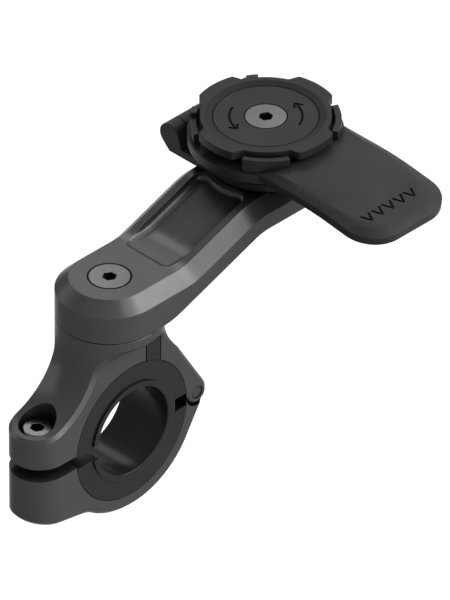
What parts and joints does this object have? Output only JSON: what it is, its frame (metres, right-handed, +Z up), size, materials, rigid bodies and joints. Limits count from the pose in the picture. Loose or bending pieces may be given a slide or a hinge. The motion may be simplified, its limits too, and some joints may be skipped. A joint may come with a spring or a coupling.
{
  "type": "bike phone mount",
  "caption": "Handlebar phone mount: hinged bar clamp with liner, cranked swivel arm and a turning twist-lock head with a press-down release lever.",
  "frame": {"origin": "centre of the bar bore, at the middle of the clamp's width", "axes": "+X along the handlebar, +Y from the bar towards the clamp's hinge and up the arm, +Z up through the clamp's neck"},
  "size_m": [0.0685, 0.0973, 0.0803],
  "materials": {
    "anodised_aluminium": "dark grey satin anodised",
    "filled_nylon": "matte, near black",
    "liner_plastic": "matte black",
    "steel": "plain"
  },
  "bodies": {
    "clamp": {"clamp_upper": "anodised_aluminium", "bar_liner": "liner_plastic", "clamp_hinge_pin": "steel", "arm_screw": "steel", "arm_washer": "liner_plastic"},
    "jaw": {"clamp_lower": "anodised_aluminium"},
    "bolt": {"clamp_bolt": "steel"},
    "arm": {"arm": "anodised_aluminium", "head_screw": "steel", "head_washer": "liner_plastic"},
    "head": {"head_base": "filled_nylon", "lock_disc": "filled_nylon", "centre_plate": "filled_nylon", "lever_hinge_pin": "steel", "lever_spring": "steel"},
    "lever": {"lever": "filled_nylon"}
  },
  "joints": [
    {"name": "jaw_hinge", "type": "hinge", "parent": "clamp", "child": "jaw", "pos_m": [0, 0.021, 0], "axis": [1, 0, 0], "range_deg": [0, 80]},
    {"name": "bolt_out", "type": "slide", "parent": "clamp", "child": "bolt", "axis": [0, 0, 1], "range_m": [0, 0.018]},
    {"name": "arm_swivel", "type": "hinge", "parent": "clamp", "child": "arm", "pos_m": [0, 0, 0.0292], "axis": [0, 0, 1], "continuous": true},
    {"name": "head_swivel", "type": "hinge", "parent": "arm", "child": "head", "pos_m": [0, 0.05, 0.0467], "axis": [0, 0, 1], "continuous": true},
    {"name": "lever_press", "type": "hinge", "parent": "head", "child": "lever", "pos_m": [-0.018, 0.05, 0.051], "axis": [0, 1, 0], "range_deg": [0, 6], "stiffness_Nm_per_rad": 1.1, "springref_deg": -14.32, "deforming": ["lever_spring"]}
  ],
  "couplings": [
    {"joint": "bolt_out", "follows": "jaw_hinge", "m_per_rad": 0.01289}
  ]
}
